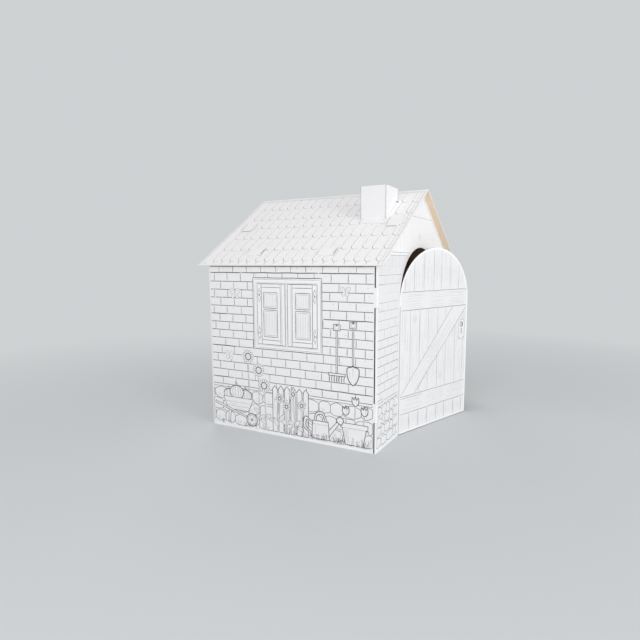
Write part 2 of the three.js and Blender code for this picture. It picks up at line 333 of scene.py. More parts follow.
def freehand(points, draw, sway=0.5, step=28):
    """The same line as a steady hand draws it, with a slight sway."""
    line = dense(points, step)
    swing = draw.uniform(0, 6)
    moved = []
    for i, (x, y) in enumerate(line):
        held = 0.4 if i in (0, len(line) - 1) else 1
        moved.append((
            x + sway * held * math.sin(1.9 * i + swing) + draw.uniform(-0.2, 0.2),
            y + sway * held * math.cos(1.4 * i + swing) + draw.uniform(-0.2, 0.2),
        ))
    return moved


def rectangle(left, low, right, high):
    return [(left, low), (right, low), (right, high), (left, high), (left, low)]


def inset(outline, margin):
    """A rectangle's outline, smaller all round by a margin."""
    middle = (Vector(outline[0]) + Vector(outline[2])) / 2
    return [(x - math.copysign(margin, x - middle.x), y - math.copysign(margin, y - middle.y))
            for x, y in outline]


def ellipse(x, y, across, up, count=16, start=0.0, sweep=2 * math.pi):
    turns = [start + sweep * i / count for i in range(count + 1)]
    ring = [(x + across * math.cos(t), y + up * math.sin(t)) for t in turns]
    return ring[:-1] + [ring[0]] if sweep == 2 * math.pi else ring


def plane(origin, across, up):
    """Where a sheet's own millimetres lie in the house: its corner and its two directions."""
    across, up = Vector(across), Vector(up)
    turned = Matrix((across, up, across.cross(up))).transposed().to_4x4()
    return Matrix.Translation(origin) @ turned


def print_on(name, lines, place, body, finish, width):
    """Prints lines on a sheet. Each is a bead of ink of its own weight, closed at both ends, that
    stands a tenth of a millimetre proud and is half sunk in the liner."""
    pen = bpy.data.curves.new(name, "CURVE")
    pen.dimensions = "3D"
    pen.twist_mode = "Z_UP"
    pen.bevel_depth = width / 2
    pen.bevel_resolution = 0
    pen.use_fill_caps = True
    for weight, points in lines:
        closed = points[0] == points[-1] and len(points) > 3
        line = straight(points)
        line = line[:-1] if closed else line
        spline = pen.splines.new("POLY")
        spline.use_cyclic_u = closed
        spline.points.add(len(line) - 1)
        for spot, (x, y) in zip(spline.points, line):
            spot.co = (x, y, 0, 1)
            spot.radius = weight
        if not closed:
            spline.points[0].radius = spline.points[-1].radius = INK_END * weight
    piece = bpy.data.objects.new(name, pen)
    bpy.context.scene.collection.objects.link(piece)
    alone(piece)
    bpy.ops.object.convert(target="MESH")
    piece = bpy.context.view_layer.objects.active
    piece.matrix_world = place @ Matrix.Diagonal((0.001, 0.001, 0.001 * INK_RISE / (width / 2), 1))
    bpy.ops.object.transform_apply()
    bpy.ops.object.mode_set(mode="EDIT")
    bpy.ops.mesh.select_all(action="SELECT")
    bpy.ops.mesh.normals_make_consistent(inside=False)
    bpy.ops.object.mode_set(mode="OBJECT")
    piece.data.materials.clear()
    piece.data.materials.append(finish)
    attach(piece, body)


def dress(node, finish):
    """Gives a CAD sheet its finish."""
    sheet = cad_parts[node]
    sheet.data.materials.clear()
    sheet.data.materials.append(finish)


def bricks(left, right, beds, length, draw, bed=1.4, upright=1.0, faint=()):
    """Running bond: long bed lines, some of them faint, and lighter upright joints that shift by half
    a brick."""
    lines = []
    for level in beds[1:-1]:
        at = left
        while at < right:
            end = min(at + draw.uniform(180, 420), right)
            lines.append((0.3 if level in faint else bed, freehand([(at, level), (end, level)], draw)))
            at = end + draw.uniform(2, 5)
    for row, (high, low) in enumerate(zip(beds, beds[1:])):
        joint = left + length * (0.45 if row % 2 else 0.95) + draw.uniform(-4, 4)
        while joint < right - 12:
            gap = draw.uniform(1.5, 3.5)
            lines.append((upright, freehand([(joint, low + gap), (joint, high - gap)], draw, 0.3)))
            joint += length + draw.uniform(-4, 4)
        at = left + 20
        while at < right - 20:
            x, y = at + draw.uniform(-12, 12), draw.uniform(low + 8, high - 8)
            lines.append((0.5, [(x, y), (x + draw.uniform(2, 6), y + draw.uniform(-1, 1))]))
            at += draw.uniform(40, 110)
    return lines


def fieldstones(left, right, low, high, courses, draw, weight):
    """A plinth of round field stones laid in rough courses, with a few strokes of shade on each."""
    lines = []
    tall = (high - low) / courses
    for course in range(courses):
        at = left - draw.uniform(0, 30)
        while at < right:
            long = draw.uniform(0.9, 1.65) * tall
            x, y = at + long / 2, low + tall * (course + 0.5) + draw.uniform(-4, 4)
            ring = []
            for turn in range(10):
                t = 2 * math.pi * turn / 10 + draw.uniform(-0.15, 0.15)
                reach = draw.uniform(0.92, 1.05) / max(abs(math.cos(t)), abs(math.sin(t))) ** 0.6
                ring.append((x + 0.49 * long * reach * math.cos(t), y + 0.47 * tall * reach * math.sin(t)))
            stone = curved(ring + [ring[0]], 3)
            stone = [(min(max(px, left), right), min(max(py, low), high)) for px, py in stone]
            hatch = []
            for stroke in range(draw.randint(0, 3)):
                foot, top = x + long * (0.02 + 0.08 * stroke), x + long * (0.08 + 0.08 * stroke)
                if left + 6 < x + long * 0.5 < right - 4:
                    hatch.append((0.3, [(foot, y - 0.32 * tall), (top, y - 0.06 * tall)]))
            lines = over(lines, [(weight, stone[:-1] + [stone[0]]), *hatch], stone)
            at += long * 0.97
    return lines


BOLD, BOLDER, FINER = 0.85, 1.35, 0.7


def put(lines, parts, x, y, size=1.0):
    """Draws a motif over what is there already, part by part, with its foot at x, y. Its bold lines
    are pressed bolder and its thin ones finer."""
    def moved(points):
        return [(x + size * px, y + size * py) for px, py in points]

    for shape, outline in parts:
        strokes = [(weight * (BOLDER if weight > BOLD else FINER), moved(points)) for weight, points in shape]
        lines = over(lines, strokes, moved(outline))
    return lines


def flower(kind, height, draw):
    """A flower on its stem, with two leaves."""
    lean = draw.uniform(-9, 9)
    stem = curved([(0, 0), (lean * 0.2, height / 2), (lean, height)], 6)
    left, right = ([(x + edge, y) for x, y in stem] for edge in (-1.7, 1.7))
    parts = [([(0.8, left), (0.8, right)], left + right[::-1])]
    for side in (-1, 1):
        root = height * draw.uniform(0.12, 0.4)
        tip = (side * draw.uniform(24, 34), root + draw.uniform(18, 34))
        leaf = curved([(0, root), (side * 8, root + 20), tip, (side * 20, root + 6), (0, root)], 4)
        parts.append(([(0.8, leaf), (0.5, [(side * 5, root + 6), tip])], leaf))
    if kind == "tulip":
        cup = [(0, -4), (-14, 8), (-13, 32), (-5, 21), (0, 36), (5, 21), (13, 32), (14, 8), (0, -4)]
        cup = curved([(lean + x, height + y) for x, y in cup], 3)
        return parts + [([(0.95, cup), (0.5, [(lean - 4, height + 4), (lean - 3, height + 20)])], cup)]
    petals, reach, heart = {"daisy": (9, 21, 7), "sunflower": (13, 31, 14)}[kind]
    middle = Vector((lean, height))
    shape = []
    for petal in range(petals):
        turn = 2 * math.pi * petal / petals
        out, wide = Vector((math.cos(turn), math.sin(turn))), Vector((-math.sin(turn), math.cos(turn)))
        half, belly = reach * math.sin(math.pi / petals) * 0.8, (heart + reach) / 2
        spots = ((heart, 0), (belly, half), (reach, 0), (belly, -half), (heart, 0))
        ring = [tuple(middle + out * far + wide * side) for far, side in spots]
        shape.append((0.75, curved(ring, 2)))
    shape.append((0.9, ellipse(lean, height, heart, heart, 12)))
    if kind == "sunflower":
        shape += [(0.5, [(lean + x, height - 6), (lean + x, height + 6)]) for x in (-5, 0, 5)]
    return parts + [(shape, ellipse(lean, height, reach, reach, 14))]


def pot(wide, tall):
    """A clay flowerpot with a rim."""
    shoulder = tall * 0.78
    foot, waist, rim = wide * 0.33, wide * 0.44, wide * 0.5
    body = [(-foot, 0), (foot, 0), (waist, shoulder), (rim, shoulder), (rim, tall), (-rim, tall),
            (-rim, shoulder), (-waist, shoulder), (-foot, 0)]
    hatch = [(0.55, [(wide * (0.18 + k), 5), (wide * (0.25 + k), shoulder - 5)]) for k in (0, 0.06, 0.12)]
    return [([(1.05, body), (0.8, [(-waist, shoulder), (waist, shoulder)]), *hatch], body)]


def picket(wide, tall):
    """A fence picket with a pointed top, a nail and a little grain."""
    half, shoulder = wide / 2, tall - wide * 0.6
    outline = [(-half, 0), (half, 0), (half, shoulder), (0, tall), (-half, shoulder), (-half, 0)]
    grain = [(0.5, [(-half * 0.4, tall * 0.2), (-half * 0.3, tall * 0.55)]),
             (0.5, [(half * 0.4, tall * 0.45), (half * 0.3, tall * 0.75)])]
    return [([(1.0, outline), *grain, (0.7, ellipse(0, tall * 0.7, 2, 2, 6))], outline)]


def watering_can():
    """A watering can with two handles, seen from the side."""
    body = [(-36, 0), (36, 0), (32, 66), (-32, 66), (-36, 0)]
    spout = [(-33, 10), (-78, 70), (-71, 77), (-32, 34), (-33, 10)]
    rose = curved([(-84, 64), (-92, 84), (-76, 92), (-64, 78), (-84, 64)], 3)
    handle = curved([(33, 62), (64, 76), (70, 36), (34, 12)])
    handle += curved([(34, 20), (60, 38), (56, 66), (33, 54)])
    bow = curved([(-28, 66), (-10, 100), (18, 94), (26, 66)])
    bow += curved([(18, 66), (13, 86), (-7, 91), (-20, 66)])
    bands = [(0.7, [(-35, 12), (35, 12)]), (0.7, [(-33, 53), (33, 53)]), (0.5, [(22, 18), (20, 48)])]
    holes = [(0.7, [(-84 + 5 * k, 78 + k), (-83 + 5 * k, 80 + k)]) for k in range(4)]
    return [([(0.95, bow + bow[:1])], bow), ([(0.95, handle + handle[:1])], handle), ([(1.0, spout)], spout),
            ([(1.0, rose), *holes], rose), ([(1.1, body), *bands], body)]


def pumpkin(x, y, across, up):
    """A ribbed pumpkin with its stalk, laid at x, y."""
    skin = ellipse(x, y, across, up, 20)
    ribs = [(0.7, ellipse(x, y, across * share, up, 14)) for share in (0.62, 0.24)]
    stalk = curved([(x - 3, y + up - 1), (x - 2, y + up + 8), (x + 7, y + up + 12)], 3)
    return [([(1.05, skin), *ribs, (1.0, stalk)], skin)]


def wheelbarrow():
    """A wooden wheelbarrow that carries three pumpkins."""
    tray = [(-62, 66), (58, 66), (84, 126), (-92, 126), (-62, 66)]
    boards = [(0.7, [(-70, 84), (66, 84)]), (0.7, [(-79, 104), (74, 104)]), (0.5, [(-30, 74), (10, 75)]),
              (0.5, [(0, 94), (40, 95)])]
    leg = [(38, 66), (48, 2), (57, 2), (52, 66), (38, 66)]
    shaft = [(-84, 26), (-80, 35), (132, 98), (134, 88), (-84, 26)]
    axle, hub, rim = (-82, 30), 5, 22
    tyre = ellipse(*axle, 30, 30, 20)
    spokes = []
    for turn in range(6):
        away = Vector((math.cos(math.pi * turn / 3), math.sin(math.pi * turn / 3)))
        spokes.append((0.7, [tuple(Vector(axle) + hub * away), tuple(Vector(axle) + rim * away)]))
    wheel = [(1.1, tyre), (0.8, ellipse(*axle, 23, 23)), (0.9, ellipse(*axle, hub, hub, 8)), *spokes]
    return [*pumpkin(-48, 142, 34, 27), *pumpkin(52, 140, 29, 23), *pumpkin(4, 152, 40, 33),
            ([(1.0, leg)], leg), ([(1.1, tray), *boards], tray), ([(1.0, shaft)], shaft), (wheel, tyre)]


def hung_tool(kind, tall):
    """A spade or a rake that hangs head down from a peg."""
    neck = 70 if kind == "spade" else 34
    shaft = [(-3.2, neck), (3.2, neck), (3.2, tall - 20), (-3.2, tall - 20), (-3.2, neck)]
    grip, hollow = rectangle(-15, tall - 24, 15, tall), rectangle(-9, tall - 18, 9, tall - 6)
    peg = ellipse(0, tall - 2, 3, 3, 8)
    parts = [([(0.95, shaft)], shaft), ([(1.0, grip), (0.8, hollow), (1.0, peg)], grip)]
    if kind == "spade":
        blade = [(0, 0), (-22, 26), (-26, 66), (-6, 74), (0, 78), (6, 74), (26, 66), (22, 26), (0, 0)]
        blade = curved(blade, 3)
        return parts + [([(1.1, blade), (0.6, [(0, 36), (0, 70)]), (0.5, [(12, 30), (15, 56)])], blade)]
    head = rectangle(-38, 26, 38, 36)
    tines = [(0.95, curved([(k, 26), (k + 2, 12), (k + 1, 0)], 3)) for k in range(-34, 35, 11)]
    return parts + [([(1.1, head), *tines], head)]


def butterfly():
    """A butterfly with its wings spread."""
    parts = []
    for side in (-1, 1):
        edge = [(0, 2), (9, 22), (26, 24), (24, 6), (10, 0), (20, -8), (12, -20), (0, -6), (0, 2)]
        wing = curved([(side * x, y) for x, y in edge], 3)
        parts.append(([(0.5, wing), (0.3, ellipse(side * 16, 14, 4, 4, 7))], wing))
    body = ellipse(0, -1, 2.2, 13, 10)
    feelers = [(0.35, [(0, 11), (side * 7, 26)]) for side in (-1, 1)]
    return parts + [([(0.5, body), *feelers], body)]


def tufts(left, right, low, count, draw, tall=30):
    """Blades of grass along the foot of the sheet."""
    lines = []
    for _ in range(count):
        x = draw.uniform(left, right)
        for blade in range(draw.randint(2, 4)):
            lean, rise = draw.uniform(-12, 12), draw.uniform(0.5, 1) * tall
            foot = x + 5 * blade
            bend, tip = (foot + lean * 0.25, low + rise * 0.6), (foot + lean, low + rise)
            lines.append((0.4, curved([(foot, low), bend, tip], 2)))
    return lines


WALL_BEDS = [733, 700, 661, 626, 590, 554, 518, 482, 446, 410, 374, 338, 302, 266, 230, 197]
WINDOW_FRAME = (237, 374, 577, 679)
FRAME_BEAD = 6.5
PRINT_LEFT, PRINT_RIGHT, PRINT_FOOT = 13, 812, 12
LEDGE, EAVE_SHADE_LINE = 197, 727.5
GRASS = PRINT_FOOT + 4

draw = random.Random(4)
wall_lines = bricks(PRINT_LEFT, PRINT_RIGHT, WALL_BEDS, 75, draw)
wall_lines += fieldstones(PRINT_LEFT, PRINT_RIGHT, PRINT_FOOT + 4, LEDGE - 14, 3, draw, 0.8)
wall_lines += [
    (1.3, freehand([(PRINT_LEFT, LEDGE), (PRINT_RIGHT, LEDGE)], draw)),
    (1.0, freehand([(PRINT_LEFT, LEDGE - 11), (PRINT_RIGHT, LEDGE - 11)], draw)),
]
window = rectangle(*WINDOW_FRAME)
window_lines = [(1.15, freehand(side, draw, 0.3)) for side in zip(window, window[1:])]
bead = inset(window, FRAME_BEAD)
window_lines += [(0.45, freehand(side, draw, 0.3)) for side in zip(bead, bead[1:])]
wall_lines = over(wall_lines, window_lines, window[:-1])
# A dark line along the top of the wall, just under the eave: painted shadow of the roof's overhang, in the
# print's ink.
wall_lines.append((1.7, freehand([(PRINT_LEFT - 4, EAVE_SHADE_LINE), (PRINT_RIGHT + 4, EAVE_SHADE_LINE)], draw, 0.2)))

for x, y, size in ((676, 606, 1.0), (132, 628, 0.8), (716, 330, 0.9)):
    wall_lines = put(wall_lines, butterfly(), x, y, size)
wall_lines = put(wall_lines, hung_tool("rake", 232), 170, 268)
wall_lines = put(wall_lines, hung_tool("spade", 250), 98, 262)
for x in range(316, 500, 31):
    wall_lines = put(wall_lines, picket(25, 205 + draw.uniform(-3, 3)), x, GRASS)
for x, kind, height in ((556, "sunflower", 262), (612, "sunflower", 318), (520, "sunflower", 196),
                        (56, "tulip", 132), (92, "tulip", 168), (128, "tulip", 126), (330, "daisy", 132),
                        (372, "daisy", 176), (412, "daisy", 118), (452, "daisy", 150)):
    wall_lines = put(wall_lines, flower(kind, height, draw), x, GRASS)
wall_lines = put(wall_lines, wheelbarrow(), 676, PRINT_FOOT + 8, 0.96)
wall_lines = put(wall_lines, pot(120, 88), 92, PRINT_FOOT + 6)
wall_lines = put(wall_lines, watering_can(), 246, PRINT_FOOT + 8, 1.15)
wall_lines += tufts(PRINT_LEFT + 8, PRINT_RIGHT - 24, PRINT_FOOT, 30, draw)
wall_lines += tufts(PRINT_LEFT + 8, 240, PRINT_FOOT, 10, draw, 42)


def past_gables(s):
    """1 on what stands more than a fifth of a millimetre out of a gable: the heads of its tabs."""
    along_y = s.along((0, 1, 0))
    return s.most(s.math("LESS_THAN", along_y, FRONT_FACE - 0.0002),
                  s.math("GREATER_THAN", along_y, REAR_FACE + 0.0002))


def wall_printed(s):
    """The print's tint stops short of the foot and leaves out the window frame."""
    left, low, right, high = (size / 1000 for size in WINDOW_FRAME)
    middle = (0, FRONT_FACE + (left + right) / 2, (low + high) / 2)
    apart = s.vector("ABSOLUTE", s.away_from(middle))["Vector"]
    beside = [s.math("GREATER_THAN", s.dot(apart, axis), half)
              for axis, half in (((0, 1, 0), (right - left) / 2), ((0, 0, 1), (high - low) / 2))]
    return s.times(s.most(*beside), s.math("GREATER_THAN", s.along(PLUMB), FOOT_MARGIN))


def wall_outside(side):
    """White outwards, and on the tab heads that lie on the gables or come up through the roof."""
    def looks_out(s):
        head = s.times(past_gables(s), s.math("ABSOLUTE", s.along((0, 1, 0), "Normal")))
        flap = s.times(above_roof(s, side), s.along(slope_out(side), "Normal"))
        return s.most(s.along((side, 0, 0), "Normal"), head, flap)
    return looks_out


def on_slope(side):
    """The heads of the tabs that come up through the roof."""
    return lambda s: above_roof(s, side)


def shaded_eave_bend(side):
    """The places where those tabs bend up the slope, on the side that faces down it, which are painted in
    shade.
    """
    return lambda s: bent(s, above_roof(s, side), slope_down(side))


grey_line = ink("wall_print", (0.035, 0.035, 0.050))
for side, name in ((-1, "left_wall"), (1, "right_wall")):
    heads = ((on_slope(side), ROOF_TINT), (shaded_eave_bend(side), EAVE_BEND_SHADE), (past_gables, GABLE_TINT))
    dress(name, board(name + "_board", wall_outside(side), (0, 1, 0), wall_printed, heads=heads,
                      plain=WALL_PLAIN, rim=WALL_SHADED_RIM))
    face = plane((side * WALL_FACE, FRONT_FACE, 0), (0, 1, 0), PLUMB)
    print_on(name + "_print", wall_lines, face, "house", grey_line, width=2.7)

# Shutters. Two leaves are cut from each side wall and swing on creases at their outer stiles. They
# are printed as panelled shutters, each with a small panel over a tall one and two strap hinges.
SHUTTER_TINT = (0.900, 0.897, 0.905)
FRONT_CREASE, REAR_CREASE = 254, 560
PANEL_EDGE = 6.5
for side, wall in ((-1, "left_wall"), (1, "right_wall")):
    for hinge, reach, end in ((FRONT_CREASE, 1, "front"), (REAR_CREASE, -1, "rear")):
        body = f"{wall}_{end}_shutter"
        draw = random.Random(11 + hinge)

        def leaf(x):
            return hinge + reach * x

        leaf_lines = []
        for weight, x, low, high in ((0.6, 5, 395, 655), (0.75, 147, 395, 655), (0.75, 27, 396, 654),
                                     (0.6, 124, 396, 654), (0.35, 130, 396, 654)):
            leaf_lines.append((weight, freehand([(leaf(x), low), (leaf(x), high)], draw, 0.2)))
        for weight, start, stop, level in ((0.8, 5, 147, 654), (0.8, 5, 147, 396), (0.65, 27, 122, 639),
                                           (0.65, 27, 122, 415)):
            leaf_lines.append((weight, freehand([(leaf(start), level), (leaf(stop), level)], draw, 0.2)))
        for low, high in ((552, 618), (429, 544)):
            panel = rectangle(leaf(38), low, leaf(108), high)
            for weight, box in ((0.85, panel), (0.35, inset(panel, PANEL_EDGE))):
                leaf_lines += [(weight, freehand(edge, draw, 0.2)) for edge in zip(box, box[1:])]
            for x in range(52, 100, 8):
                leaf_lines.append((0.2, freehand([(leaf(x), low + 9), (leaf(x), high - 9)], draw, 0.2)))
        for level in (606, 444):
            strap = [(leaf(6), level - 9), (leaf(9), level - 9), (leaf(9), level + 9), (leaf(6), level + 9)]
            scroll = [(leaf(9), level), (leaf(17), level + 3), (leaf(22), level + 14), (leaf(17), level + 22),
                      (leaf(12), level + 18), (leaf(15), level + 13)]
            lower = [(x, 2 * level - y) for x, y in scroll]
            leaf_lines += [(0.4, strap), (0.45, curved(scroll, 4)), (0.45, curved(lower, 4)),
                           (0.4, ellipse(leaf(18), level, 1.8, 1.8, 6))]
            for rise in (-27, 27):
                leaf_lines.append((0.35, ellipse(leaf(15), level + rise, 1.8, 2.6, 6)))
        dress(body, board(body + "_board", outward((side, 0, 0)), (0, 1, 0), plain=SHUTTER_TINT))
        face = plane((side * WALL_FACE, FRONT_FACE, 0), (0, 1, 0), PLUMB)
        print_on(body + "_print", leaf_lines, face, body, grey_line, width=3.3)

# Gables. The front sheet has an arched doorway down to the floor, and the rear one is whole. Both
# are printed with bricks on a plinth of field stones, a double belt and upright planks above it.
# Their rake tabs come up through the roof. The print is measured from the middle and from the floor.
GABLE_BEDS = [766, 729, 694, 659, 623, 588, 555, 519, 483, 443, 410, 375, 340, 305, 270, 235, 197]
BRICK_LIGHT, BRICK_BOLD, BOLD_BELOW = 0.68, 1.2, 450
DOOR_HALF, DOOR_SPRING, DOOR_RISE = 260, 573, 237
GABLE_HALF, GABLE_MARGIN = 486, 9
GABLE_EDGE = 488
BELTS = (772, 784)
PLANK = 43
ATTIC_LINE, ATTIC_KNOT = 944, (-20, 859)
# The planks above the belt are painted whiter: painted light against the shade under the roof's overhang.
ATTIC_LIT_WHITE = (0.935, 0.932, 0.938)
# Painted shade where the rake tabs bend in over the roof, on their side that faces out of the gable.
RAKE_BEND_SHADE = (0.70, 0.695, 0.70)
HEAD_REACH = (426, 495)
HEAD_HEIGHTS = ((119, 207), (566, 654))
RAKE_TOP, RIDGE_CUT = 1064, 1045


def rake(x):
    """How high the gable's own cut edge is, less the margin of the print."""
    return min(RAKE_TOP - abs(x) * ROOF_RISE, RIDGE_CUT) - GABLE_MARGIN / math.cos(PITCH)


def gable_print(draw, doorway):
    """The drawing of one gable, and what of it runs on over the side walls' tab heads."""
    left, right = -GABLE_HALF, GABLE_HALF
    lines = bricks(left, right, GABLE_BEDS, 72, draw, 1.0, 0.42, faint=(729, 623))
    lines = [(weight * (BRICK_LIGHT if points[0][1] > BOLD_BELOW else BRICK_BOLD), points)
             for weight, points in lines]
    lines += fieldstones(left, right, PRINT_FOOT + 4, LEDGE - 16, 4, draw, 0.95)
    lines += [(1.1, freehand([(left, level), (right, level)], draw)) for level in (LEDGE, LEDGE - 12)]
    slope = [(x, rake(x)) for x in (left, -20, 20, right)]
    lines = cut_out(lines, [(-GABLE_EDGE, 0), (GABLE_EDGE, 0), *slope[::-1]], True)
    lines += [(0.8, freehand([(-412, level), (412, level)], draw)) for level in BELTS]
    lines.append((0.5, freehand([(-168, ATTIC_LINE), (168, ATTIC_LINE)], draw)))
    at = -390
    while at < 395:
        foot, top = BELTS[1] + 3, rake(at)
        if top - foot > 14:
            lines.append((0.22, freehand([(at, foot), (at, top)], draw)))
            for grain in (15, 29):
                x = at + grain + draw.uniform(-3, 3)
                reach = rake(x) - foot
                if reach > 60 and draw.random() < 0.6:
                    low = foot + reach * draw.uniform(0.05, 0.35)
                    high = foot + reach * draw.uniform(0.55, 0.95)
                    lines.append((0.12, freehand([(x, low), (x, high)], draw)))
        at += PLANK
    x, y = ATTIC_KNOT
    lines += [(0.4, ellipse(x, y, 9, 13, 12)), (0.3, ellipse(x, y - 1, 4, 6, 8))]
    lines.append((0.9, slope))
    on_heads = []
    for side in (-1, 1):
        for low, high in HEAD_HEIGHTS:
            head = rectangle(side * HEAD_REACH[0], low, side * HEAD_REACH[1], high)
            on_heads += cut_out(lines, inset(head, 3)[:-1], True)
            lines = behind(lines, inset(head, -2)[:-1])
    if doorway:
        reach = DOOR_HALF + GABLE_MARGIN
        arch = ellipse(0, DOOR_SPRING, reach, DOOR_RISE + GABLE_MARGIN, 30, 0.0, math.pi)
        opening = [(reach, -10), *arch, (-reach, -10)]
        lines = behind(lines, opening)
    return lines, on_heads


def gable_outside(facing):
    """White outwards, and on the rake tabs that lie on the roof."""
    def looks_out(s):
        flaps = [s.times(above_roof(s, side), s.along(slope_out(side), "Normal")) for side in (-1, 1)]
        return s.most(s.along((0, facing, 0), "Normal"), *flaps)
    return looks_out


def inside_arch(s, across, up, half, spring, rise):
    """1 within an arched outline, 0 outside, from the shader's own measures in metres."""
    wide = s.math("DIVIDE", across, half)
    high = s.math("DIVIDE", s.most(s.math("SUBTRACT", up, spring), 0.0), rise)
    far = s.math("ADD", s.times(wide, wide), s.times(high, high))
    return s.math("LESS_THAN", far, 1.0)


def gable_heads(s):
    """1 on the rake tabs' heads."""
    return s.most(above_roof(s, -1), above_roof(s, 1))


def attic(s):
    """1 on the planks above the belt, which are painted whiter: painted light against the shade under the
    roof's overhang.
    """
    return s.math("GREATER_THAN", s.along(PLUMB), BELTS[0] / 1000)


def gable_printed(doorway):
    """The print's tint stops short of the cut edges and of the doorway, and ends at the belt."""
    def tint(s):
        across, up = s.along((1, 0, 0)), s.along(PLUMB)
        within = [s.math("LESS_THAN", s.math("ABSOLUTE", across), GABLE_EDGE / 1000),
                  s.math("GREATER_THAN", up, FOOT_MARGIN), s.math("LESS_THAN", up, sum(BELTS) / 2000)]
        if doorway:
            hole = inside_arch(s, across, up, (DOOR_HALF + GABLE_MARGIN) / 1000, DOOR_SPRING / 1000,
                               (DOOR_RISE + GABLE_MARGIN) / 1000)
            within.append(s.math("SUBTRACT", 1.0, hole))
        return s.times(*within)
    return tint


def shaded_rake_bend(facing):
    """The places where the rake tabs bend in over the roof, on the side that faces out of the gable, which
    are painted in shade.
    """
    return lambda s: bent(s, gable_heads(s), (0, facing, 0))


pale_line = ink("gable_print", (0.17, 0.17, 0.20))
for name, facing, level, seed in (("front_gable", -1, FRONT_FACE, 21), ("rear_gable", 1, REAR_FACE, 22)):
    doorway = facing < 0
    heads = ((attic, ATTIC_LIT_WHITE), (gable_heads, ROOF_TINT), (shaded_rake_bend(facing), RAKE_BEND_SHADE))
    dress(name, board(name + "_board", gable_outside(facing), (1, 0, 0), gable_printed(doorway), heads=heads,
                      tint=GABLE_TINT))
    drawing, on_heads = gable_print(random.Random(seed), doorway)
    face = plane((0, level, 0), (1, 0, 0), PLUMB)
    print_on(name + "_print", drawing, face, "house", pale_line, width=2.4)
    head_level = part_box("left_wall")[0 if facing < 0 else 1][1]
    face = plane((0, head_level, 0), (1, 0, 0), PLUMB)
    print_on(name + "_tab_print", on_heads, face, "house", pale_line, width=2.4)

# Door. The arched leaf is cut from the front gable and swings on a crease at its left edge. It is
# printed as planks with two battens and a brace between them, and a lock plate round the finger
# hole. It stands open by 18.5 degrees. The print is measured from the crease and from the floor.
DOOR_OPEN = math.radians(18.5)
DOOR_WIDTH = 520
DOOR_AXIS = (-0.26, -0.3550008, 0)
DOOR_ACROSS = Vector((math.cos(DOOR_OPEN), -math.sin(DOOR_OPEN), 0))
DOOR_OUT = Vector((-math.sin(DOOR_OPEN), -math.cos(DOOR_OPEN), 0))
# The leaf's tint is darker than that of the gable it is cut from: painted shade that tones down the front
# lamp's light on it.
DOOR_SHADED_TINT = (0.77, 0.77, 0.775)
# The leaf's cut edge is near black: the brown core, with painted shade that carries on the dark gap round the
# leaf.
DOOR_SHADED_RIM, DOOR_SHADED_CORE = (0.12, 0.095, 0.07), (0.30, 0.24, 0.18)
DOOR_FOOT, DOOR_MARGIN = 11, 9
LOWER_BATTEN, UPPER_BATTEN = (88, 166), (540, 618)
BATTEN_LEFT, BATTEN_RIGHT = 13, 509
BRACE_FOOT, BRACE_RUN, BRACE_RISE = (16, 170), 378, 366
HOLE_MIDDLE, HOLE_REACH = (471, 447), 21


def arch_height(x, margin):
    """How high the leaf's arched edge is, less a margin."""
    share = min(abs(x - DOOR_WIDTH / 2) / (DOOR_WIDTH / 2 - margin), 1)
    return DOOR_SPRING + (DOOR_RISE - margin) * math.sqrt(1 - share ** 2)


draw = random.Random(31)
door_lines = []
for x in (76, 141, 205, 276, 341, 418, 486):
    door_lines.append((1.0, freehand([(x, 12), (x, LOWER_BATTEN[0] - 3)], draw)))
    door_lines.append((0.9, freehand([(x, LOWER_BATTEN[1] + 3), (x, UPPER_BATTEN[0] - 3)], draw)))
for x in (36, 98, 167, 239, 297, 368, 438):
    door_lines.append((0.7, freehand([(x, UPPER_BATTEN[1] + 3), (x, arch_height(x, 11))], draw)))
for place in range(20, 506, 13):
    for foot, top in ((15, LOWER_BATTEN[0] - 6), (LOWER_BATTEN[1] + 6, 350), (330, UPPER_BATTEN[0] - 6),
                      (UPPER_BATTEN[1] + 6, arch_height(place, 2 * DOOR_MARGIN))):
        x = place + draw.uniform(-4, 4)
        long = top - foot
        low = foot + long * draw.uniform(0.0, 0.4)
        if long > 24:
            high = min(low + long * draw.uniform(0.4, 0.9), top)
            door_lines.append((0.3, freehand([(x, low), (x, high)], draw)))
for x, y in ((108, 500), (302, 222)):
    knot = [(0.4, ellipse(x, y, 9, 15, 12)), (0.3, ellipse(x, y - 1, 4, 7, 10))]
    door_lines = over(door_lines, knot, ellipse(x, y, 9, 15, 12))
brace = [(16, 171), (113, 169), (512, 537), (394, 537)]
brace_lines = [(0.9, freehand(edge, draw)) for edge in ([(16, 171), (394, 537)], [(113, 169), (508, 533)])]
for aside in range(14, 93, 13):
    ends = (draw.uniform(0.03, 0.5), draw.uniform(0.5, 0.97))
    grain = [(BRACE_FOOT[0] + aside + BRACE_RUN * end, BRACE_FOOT[1] + BRACE_RISE * end) for end in ends]
    brace_lines.append((0.28, freehand(grain, draw)))
door_lines = over(door_lines, brace_lines, brace)
for low, high in (LOWER_BATTEN, UPPER_BATTEN):
    batten = rectangle(BATTEN_LEFT, low, BATTEN_RIGHT, high)
    grain = []
    for course in range(7):
        for start, end in ((BATTEN_LEFT + 1, 180), (170, 350), (330, BATTEN_RIGHT - 6)):
            x, y = start + draw.uniform(0, 50), low + 9 + 10 * course + draw.uniform(-3, 3)
            bow, end = draw.uniform(-3, 3), end - draw.uniform(0, 30)
            grain.append((0.22, curved([(x, y), ((x + end) / 2, y + bow), (end, y)], 4)))
    door_lines = over(door_lines, [
        (0.9, freehand([(BATTEN_LEFT, high), (BATTEN_RIGHT, high)], draw)),
        (1.0, freehand([(BATTEN_LEFT, low), (BATTEN_RIGHT, low)], draw)),
        *grain,
    ], batten[:-1])
shadow = [(BATTEN_LEFT, LOWER_BATTEN[1] - 9), (170, LOWER_BATTEN[1] - 9)]
